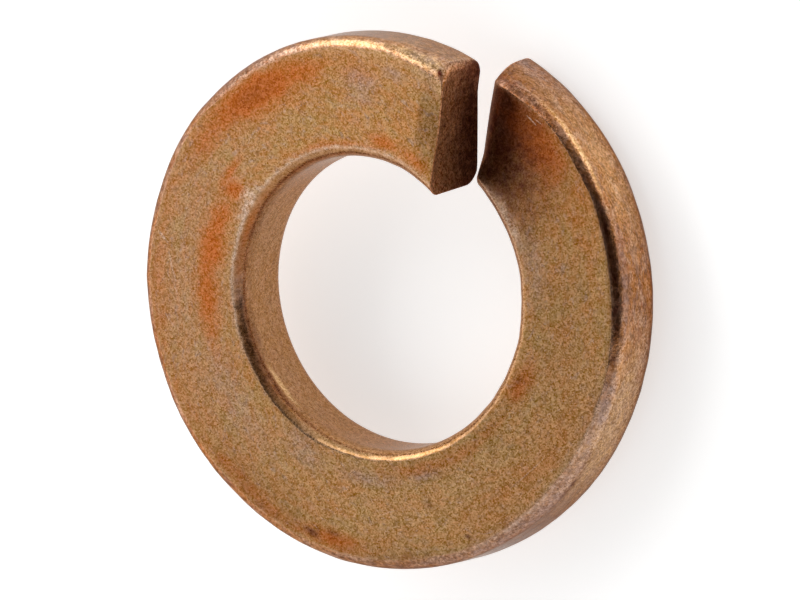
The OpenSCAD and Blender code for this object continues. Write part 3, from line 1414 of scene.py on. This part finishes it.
PRESSED_FACE = Finish(
    name="pressed_face_bronze", colour=srgb(168, 121, 73), fineness=25.0, contrast=0.46,
    clouding=1.6, line_amount=0.25, metallic=0.75, roughness=0.35, bump=0.003,
    scale_bump=0.003, scratches=SCRATCHES,
    mottles=(Mottle(srgb(162, 127, 76), 0.9, 0.5, 0.8, 7.9, softness=0.16),
             Mottle(srgb(176, 110, 56), 0.34, 0.52, 0.5, 3.7),
             Mottle(srgb(160, 132, 116), 0.2, 0.62, 0.6, 17.0, 0.8, 0.05),
             Mottle(srgb(186, 150, 100), 0.07, 0.62, 0.5, 29.0, 0.9, 0.05),
             Mottle(srgb(158, 128, 108), 0.14, 0.56, 0.3, 11.3, 0.7, 0.06)))

DRAWN_WALL = Finish(
    name="drawn_wall_bronze", colour=srgb(170, 120, 82), fineness=20.0, contrast=0.4,
    clouding=2.2, line_amount=0.15, metallic=0.85, roughness=0.21, bump=0.003,
    scale_bump=0.014, edge_tint=(0.5, 0.42, 0.38),
    mottles=(Mottle(srgb(186, 120, 64), 0.9, 0.5, 0.8, 7.9, softness=0.14),
             Mottle(srgb(194, 152, 126), 0.30, 0.54, 0.75, 3.7, softness=0.08),
             Mottle(srgb(150, 84, 50), 0.24, 0.57, 0.6, 21.0, 0.6, 0.05),
             Mottle(srgb(118, 80, 66), 0.15, 0.55, 0.65, 11.3, 0.8, 0.06)))

SHEARED_END = Finish(
    name="sheared_end_bronze", colour=srgb(186, 130, 86), fineness=24.0, contrast=0.7,
    clouding=2.2, line_amount=0.0, metallic=0.7, roughness=0.34, bump=0.005,
    scale_bump=0.012, edge_tint=(0.66, 0.58, 0.54),
    mottles=(Mottle(srgb(198, 134, 88), 0.9, 0.5, 0.6, 7.9, softness=0.16),
             Mottle(srgb(150, 102, 70), 0.34, 0.52, 0.6, 3.7),
             Mottle(srgb(182, 106, 60), 0.16, 0.54, 0.5, 11.3, 1.0, 0.06)))

INNER_WALL = Finish(
    name="inner_wall_bronze", colour=srgb(178, 132, 90), fineness=22.0, contrast=0.34,
    clouding=1.8, line_amount=0.3, metallic=0.85, roughness=0.27, bump=0.001,
    scale_bump=0.004, edge_tint=(0.75, 0.64, 0.58),
    mottles=(Mottle(srgb(180, 126, 72), 0.9, 0.5, 0.6, 7.9, softness=0.16),
             Mottle(srgb(190, 140, 104), 0.34, 0.54, 0.5, 3.7),
             Mottle(srgb(150, 108, 78), 0.14, 0.57, 0.35, 11.3, 0.6, 0.06)))


FINISHES = {FinishKind.PRESSED: PRESSED_FACE, FinishKind.DRAWN: DRAWN_WALL,
            FinishKind.SHEARED: SHEARED_END, FinishKind.INNER: INNER_WALL}

# each mark's turn, girth, length, width and strength
MARK_ROWS = {
    # heat tint and rust, along the rim side of the face and beside the bore; the last two, by
    # the seated end, paint an orange reflection on its roll-over
    Stain.RUST_AND_REFLECTION: (
        (8.0, 0.25, 0.5, 0.2, 0.8), (21.0, 0.3, 0.45, 0.15, 0.8), (30.0, 2.2, 1.4, 0.35, 0.25),
        (45.0, 0.1, 1.6, 0.1, 0.5), (46.0, 2.2, 1.2, 0.45, 0.9), (56.0, 2.15, 1.6, 0.5, 1.3),
        (60.0, -0.3, 1.6, 0.1, 0.35), (72.0, 2.15, 1.2, 0.35, 0.6), (82.0, 1.05, 0.6, 0.12, 0.8),
        (87.0, 0.7, 0.4, 0.4, 0.8), (97.0, 0.72, 0.8, 0.34, 0.8), (102.0, -0.2, 1.3, 0.1, 0.7),
        (108.0, 0.75, 1.0, 0.4, 1.0), (115.0, 2.5, 3.0, 0.3, 0.3), (121.0, 0.8, 1.0, 0.34, 0.9),
        (132.0, 0.85, 0.7, 0.25, 0.5), (140.0, 2.5, 3.0, 0.25, 0.25),
        (152.0, -0.16, 1.8, 0.12, 0.35), (168.0, 2.45, 1.9, 0.25, 0.5),
        (184.0, 2.5, 0.6, 0.14, 0.7), (192.0, 2.38, 0.8, 0.22, 0.85),
        (228.0, 0.3, 1.0, 0.16, 0.5), (250.0, 0.35, 1.3, 0.14, 0.4), (255.0, 2.0, 2.4, 0.5, 0.3),
        (279.0, 0.4, 0.6, 0.28, 0.75), (322.0, 2.2, 1.2, 0.3, 0.35), (334.0, 1.9, 1.2, 0.7, 0.3),
        # the last two paint the orange reflection on the seated end's roll-over
        (343.5, 2.1, 1.4, 0.6, 1.2), (349.0, 2.35, 1.0, 0.35, 0.9),
    ),
    # dark red-brown cores and specks, and painted shade: on the seated end's roll-over
    # (turns 346 to 360) and along the bore's corner (girth below zero), and the painted dark
    # reflection in the band along the rim's upper corner (turn 305, girth 2.82)
    Stain.UMBER_AND_SHADE: (
        (0.2, 2.82, 0.07, 0.06, 1.2), (57.0, 2.15, 0.8, 0.25, 0.25),
        (86.0, -0.42, 3.6, 0.22, 0.35), (112.0, -0.15, 0.8, 0.14, 0.3),
        (142.0, -0.5, 0.9, 0.16, 0.45), (153.0, -0.3, 2.2, 0.15, 0.65),
        (172.0, 2.2, 2.2, 0.6, 0.2), (172.0, 2.55, 1.1, 0.12, 0.35),
        (178.0, -0.45, 1.6, 0.2, 0.15), (186.0, 2.42, 0.26, 0.1, 0.8),
        (192.0, 2.2, 0.2, 0.08, 0.55), (208.0, 3.6, 2.2, 1.0, 0.6),
        (210.0, 2.55, 0.14, 0.06, 0.8), (224.0, 1.25, 0.14, 0.07, 0.55),
        (228.0, 2.42, 0.08, 0.07, 0.9), (232.0, 3.7, 2.0, 1.0, 0.3), (252.0, 3.2, 0.7, 0.12, 0.6),
        (260.0, 3.1, 0.4, 0.1, 0.5), (280.0, 0.3, 0.14, 0.08, 0.45), (280.0, 4.6, 6.0, 0.3, 0.5),
        (300.0, 3.0, 1.0, 0.3, 0.3), (305.0, 1.3, 2.6, 0.8, 0.12), (305.0, 2.82, 2.7, 0.12, 0.9),
        (330.0, 4.7, 4.0, 0.2, 0.4), (346.0, 2.42, 0.9, 0.3, 0.5), (352.0, 0.9, 2.1, 1.5, 0.85),
        (352.0, 2.86, 1.2, 0.12, 0.15), (357.0, 2.35, 1.0, 0.42, 0.85),
        (360.0, 1.2, 0.9, 1.6, 0.95),
    ),
    # grey-violet scuffs, and painted pale reflections: the broad faint mark on the upper face
    # at turn 112, and the marks along the rim's upper corner at turns 245 and 274
    Stain.LILAC_AND_REFLECTION: (
        (3.0, 3.6, 1.0, 1.0, 0.5), (5.0, 3.0, 0.8, 0.22, 0.5), (14.0, 2.2, 0.3, 0.14, 0.5),
        (16.0, 3.8, 2.6, 0.9, 0.4), (25.0, 1.8, 0.5, 0.3, 0.5), (26.0, 1.35, 0.4, 0.15, 0.4),
        (55.0, 2.95, 2.4, 0.12, 0.5), (112.0, 1.6, 4.5, 1.5, 0.16), (126.0, -0.2, 0.6, 0.16, 0.5),
        (150.0, 1.0, 1.9, 0.5, 0.3), (183.0, 0.4, 0.6, 0.4, 0.4), (208.0, 0.5, 0.8, 0.18, 0.45),
        (229.0, 0.5, 0.4, 0.14, 0.6), (245.0, 3.0, 4.2, 0.28, 0.65), (266.0, 3.6, 2.4, 0.9, 0.4),
        (267.0, 3.6, 2.0, 0.6, 0.25), (274.0, 2.95, 0.9, 0.22, 0.8), (300.0, 3.1, 1.4, 0.1, 0.5),
        (318.0, 0.4, 1.0, 0.3, 0.35), (354.0, 2.1, 0.8, 0.6, 0.6), (357.0, 4.0, 1.0, 0.35, 0.7),
    ),
    # pale scuffs and the rubbed line beside the bore
    Stain.CHALK: (
        (48.0, 2.78, 2.2, 0.1, 0.45), (65.0, 0.02, 5.0, 0.055, 0.55),
        (86.0, 0.35, 0.25, 0.08, 0.5), (90.0, 0.14, 0.5, 0.1, 0.7),
        (105.0, 0.01, 1.8, 0.05, 0.75), (128.0, 0.0, 1.2, 0.05, 0.5),
        (250.0, 2.74, 3.2, 0.05, 0.35), (337.0, 0.1, 0.9, 0.12, 0.4),
        (348.0, 0.03, 0.6, 0.08, 0.3),
    ),
    # painted highlights on the corners, where light catches them, over metal rubbed bright
    Stain.RUB_AND_HIGHLIGHT: (
        (2.0, 3.6, 0.9, 1.0, 0.5), (6.5, 2.9, 0.9, 0.14, 1.3), (12.0, 3.5, 1.2, 0.5, 0.6),
        (14.0, 3.8, 2.8, 1.1, 0.4), (15.0, 2.86, 2.6, 0.14, 0.6), (166.5, -0.54, 0.55, 0.06, 1.6),
        (208.0, -0.16, 2.0, 0.15, 0.5), (242.0, 1.4, 6.0, 2.0, 0.17), (267.0, 3.6, 2.2, 0.7, 0.8),
        (272.0, 3.7, 1.8, 0.9, 0.2), (330.0, 3.7, 2.4, 0.6, 0.35), (333.0, 3.02, 1.5, 0.08, 0.8),
    ),
}
MARKS: Tuple[Mark, ...] = tuple(
    Mark(kind, *row) for kind, rows in MARK_ROWS.items() for row in rows)


@dataclass
class Floor:
    """Plain pale floor that the washer lies on."""

    name: str = "floor"
    half: float = 0.9
    colour: float = 0.8
    glow: float = 0.52
    tiles: int = 8

    def build(self) -> bpy.types.Object:
        """Make the floor with its material.

        Returns:
            The floor.
        """
        side = self.tiles + 1
        line = np.linspace(-self.half, self.half, side)
        verts = [(x, y, 0.0) for y in line for x in line]
        corners = [row * side + col for row in range(self.tiles) for col in range(self.tiles)]
        faces = [(at, at + 1, at + side + 1, at + side) for at in corners]
        mesh = bpy.data.meshes.new(self.name)
        mesh.from_pydata(verts, [], faces)
        floor = bpy.data.objects.new(self.name, mesh)
        bpy.context.scene.collection.objects.link(floor)
        material = bpy.data.materials.new("pale_floor")
        material.use_nodes = True
        bench = Bench(material.node_tree)
        rays = bench.add("ShaderNodeLightPath").outputs
        seen = bench.math("MAXIMUM", rays["Is Camera Ray"], rays["Is Glossy Ray"])
        seen = bench.math("MAXIMUM", seen, rays["Is Transmission Ray"])
        matt = bench.add("ShaderNodeBsdfDiffuse", {"Color": (self.colour,) * 3})
        glow = bench.add("ShaderNodeEmission", {
            "Color": WHITE, "Strength": bench.times(seen, self.glow)})
        both = bench.add("ShaderNodeAddShader", {0: matt.outputs[0], 1: glow.outputs[0]})
        bench.add("ShaderNodeOutputMaterial", {"Surface": both.outputs[0]})
        mesh.materials.append(material)
        return floor


@dataclass(frozen=True)
class Panel:
    """One four-sided patch of the surround, lit to its own level.

    Its sides are given as sines of the angles by which they lie to its left, its right,
    below and above its centre, and its edges as the widths over which they fade.
    """

    centre: Axis
    top: Axis
    left: float
    right: float
    below: float
    above: float
    fades: Tuple[float, float, float, float]
    level: float

    def mask(self, bench: Bench, way: Socket) -> Socket:
        """How much of the panel is seen in a direction.

        Args:
            bench: The world's bench.
            way: The direction, a unit vector.

        Returns:
            A value, 0 outside the panel and 1 inside it.
        """
        centre = Vector(self.centre).normalized()
        side = Vector(self.top).cross(centre).normalized()
        over = centre.cross(side)
        aside, rise, ahead = (bench.measure("DOT_PRODUCT", way, tuple(axis))
                              for axis in (side, over, centre))
        value = bench.math("GREATER_THAN", ahead, 0.0)
        edges = (-self.left, self.right, -self.below, self.above)
        for place, edge, fade in zip((aside, aside, rise, rise), edges, self.fades):
            levels = (0.0, 1.0) if edge < 0.0 else (1.0, 0.0)
            value = bench.times(value, bench.smooth(place, edge - fade, edge + fade, *levels))
        return value


@dataclass
class Surround:
    """White studio tent, with the dim opening that the lens looks through."""

    base: float = 0.9
    panels: Tuple[Panel, ...] = ()

    def build(self) -> None:
        """Set up the world: bright all round for light, plain white behind the washer."""
        world = bpy.data.worlds.new("studio_tent")
        bpy.context.scene.world = world
        world.use_nodes = True
        bench = Bench(world.node_tree)
        way = bench.add("ShaderNodeTexCoord").outputs["Generated"]
        unit = bench.vector("NORMALIZE", way)
        shade = self.base
        for panel in self.panels:
            shade = bench.mix(panel.mask(bench, unit), shade, panel.level)
        rays = bench.add("ShaderNodeLightPath").outputs
        light = bench.add("ShaderNodeBackground", {
            "Color": WHITE, "Strength": bench.mix(rays["Is Camera Ray"], shade, 1.0)})
        bench.add("ShaderNodeOutputWorld", {"Surface": light.outputs[0]})


LENS_WAY: Axis = (0.534, 0.147, 0.832)
LENS_TOP: Axis = (-0.080, 0.989, -0.124)
STUDIO = (
    # the upper part of the tent, a little dimmer than its white table
    Panel(LENS_TOP, (0.84, 0.0, -0.54), 2.0, 2.0, 2.0, 2.0, (0.1, 0.1, 0.1, 0.1), 0.6),
    # the far right softbox
    Panel((0.54, 0.70, -0.10), LENS_TOP, 0.34, 0.40, 0.34, 0.45, (0.08, 0.2, 0.08, 0.2), 2.4),
    # the tall left softbox and the bright wing below it
    Panel((-0.642, 0.594, 0.485), (-0.217, 0.466, -0.858), 0.25, 0.22, 0.62, 0.60,
          (0.12, 0.04, 0.10, 0.15), 3.4),
    Panel((-0.86, -0.10, 0.49), LENS_TOP, 0.50, 0.42, 0.45, 0.45, (0.2, 0.1, 0.2, 0.2), 1.35),
    # the dim opening round the lens
    Panel(LENS_WAY, LENS_TOP, 0.86, 0.72, 0.30, 0.48, (0.03, 0.12, 0.03, 0.26), 0.035),
    # the tent's seam, which catches light between the left softbox and the opening
    Panel((-0.27, 0.68, 0.68), LENS_TOP, 0.24, 0.16, 0.22, 0.22, (0.1, 0.1, 0.1, 0.1), 2.3),
)


@dataclass
class SoftLamp:
    """One soft area lamp, aimed at the washer."""

    name: str
    towards: Axis
    distance: float
    width: float
    radiance: float
    aim_z: float = 2.0

    def build(self) -> bpy.types.Object:
        """Make the lamp.

        Returns:
            The lamp.
        """
        lamp = bpy.data.lights.new(self.name, "AREA")
        lamp.shape = "DISK"
        lamp.size = self.width
        lamp.energy = self.radiance * math.pi * math.pi * (self.width / 2.0) ** 2
        item = bpy.data.objects.new(self.name, lamp)
        bpy.context.scene.collection.objects.link(item)
        way = Vector(self.towards).normalized()
        item.location = way * self.distance + Vector((0.0, 0.0, self.aim_z * MM))
        item.rotation_euler = way.to_track_quat("Z", "Y").to_euler()
        return item


KEY_LAMP = SoftLamp("key_lamp", (-0.60, 0.60, 0.53), distance=0.35, width=0.08, radiance=3.0)


@dataclass
class Lens:
    """The camera at the photograph's viewing angle: a long lens, far away.

    The image is 800 by 600. The washer's point at hub_z on the axis falls on the pixel
    (hub_x, hub_y), with scale pixels to a millimetre.
    """

    turn: float = 0.5708
    tilt: float = 0.1479
    hub_x: float = 373.11
    hub_y: float = 303.59
    hub_z: float = 3.332
    scale: float = 37.21
    distance: float = 0.72
    sensor: float = 36.0
    image: Tuple[int, int] = (800, 600)
    clip: Tuple[float, float] = (0.01, 20.0)

    def build(self) -> bpy.types.Object:
        """Make the camera and look through it.

        Returns:
            The camera.
        """
        ca, sa = math.cos(self.turn), math.sin(self.turn)
        ce, se = math.cos(self.tilt), math.sin(self.tilt)
        right = Vector((ca, 0.0, -sa))
        up = Vector((-se * sa, ce, -se * ca))
        back = Vector((ce * sa, se, ce * ca))
        wide, high = self.image
        aside = (wide / 2.0 - self.hub_x) / self.scale
        above = (self.hub_y - high / 2.0) / self.scale
        centre = Vector((0.0, 0.0, self.hub_z)) + right * aside + up * above
        data = bpy.data.cameras.new("lens")
        data.sensor_fit = "HORIZONTAL"
        data.sensor_width = self.sensor
        data.lens = self.sensor / wide * self.scale * self.distance / MM
        data.clip_start, data.clip_end = self.clip
        camera = bpy.data.objects.new("lens", data)
        bpy.context.scene.collection.objects.link(camera)
        spot = centre * MM + back * self.distance
        turn = Matrix((right, up, back)).transposed().to_4x4()
        camera.matrix_world = Matrix.Translation(spot) @ turn
        bpy.context.scene.camera = camera
        return camera


def main() -> None:
    """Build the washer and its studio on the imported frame."""
    logging.basicConfig(level=logging.INFO, format="%(name)s: %(message)s")
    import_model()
    scene = bpy.context.scene
    scene.view_settings.view_transform = "Standard"
    Lens().build()
    washer = SpringWasher(marks=MARKS, finishes=FINISHES)
    piece = washer.build()
    washer.dress(piece, Effects())
    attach(piece, "root")
    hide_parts(washer.node)
    LOG.info("%s: %d points, %d faces", piece.name, len(piece.data.vertices),
             len(piece.data.polygons))
    floor = Floor().build()
    LOG.info("%s: part of the stage", floor.name)
    Surround(panels=STUDIO).build()
    key = KEY_LAMP.build()
    LOG.info("%s: lights the washer from the left of the lens", key.name)


if __name__ == "__main__":
    main()
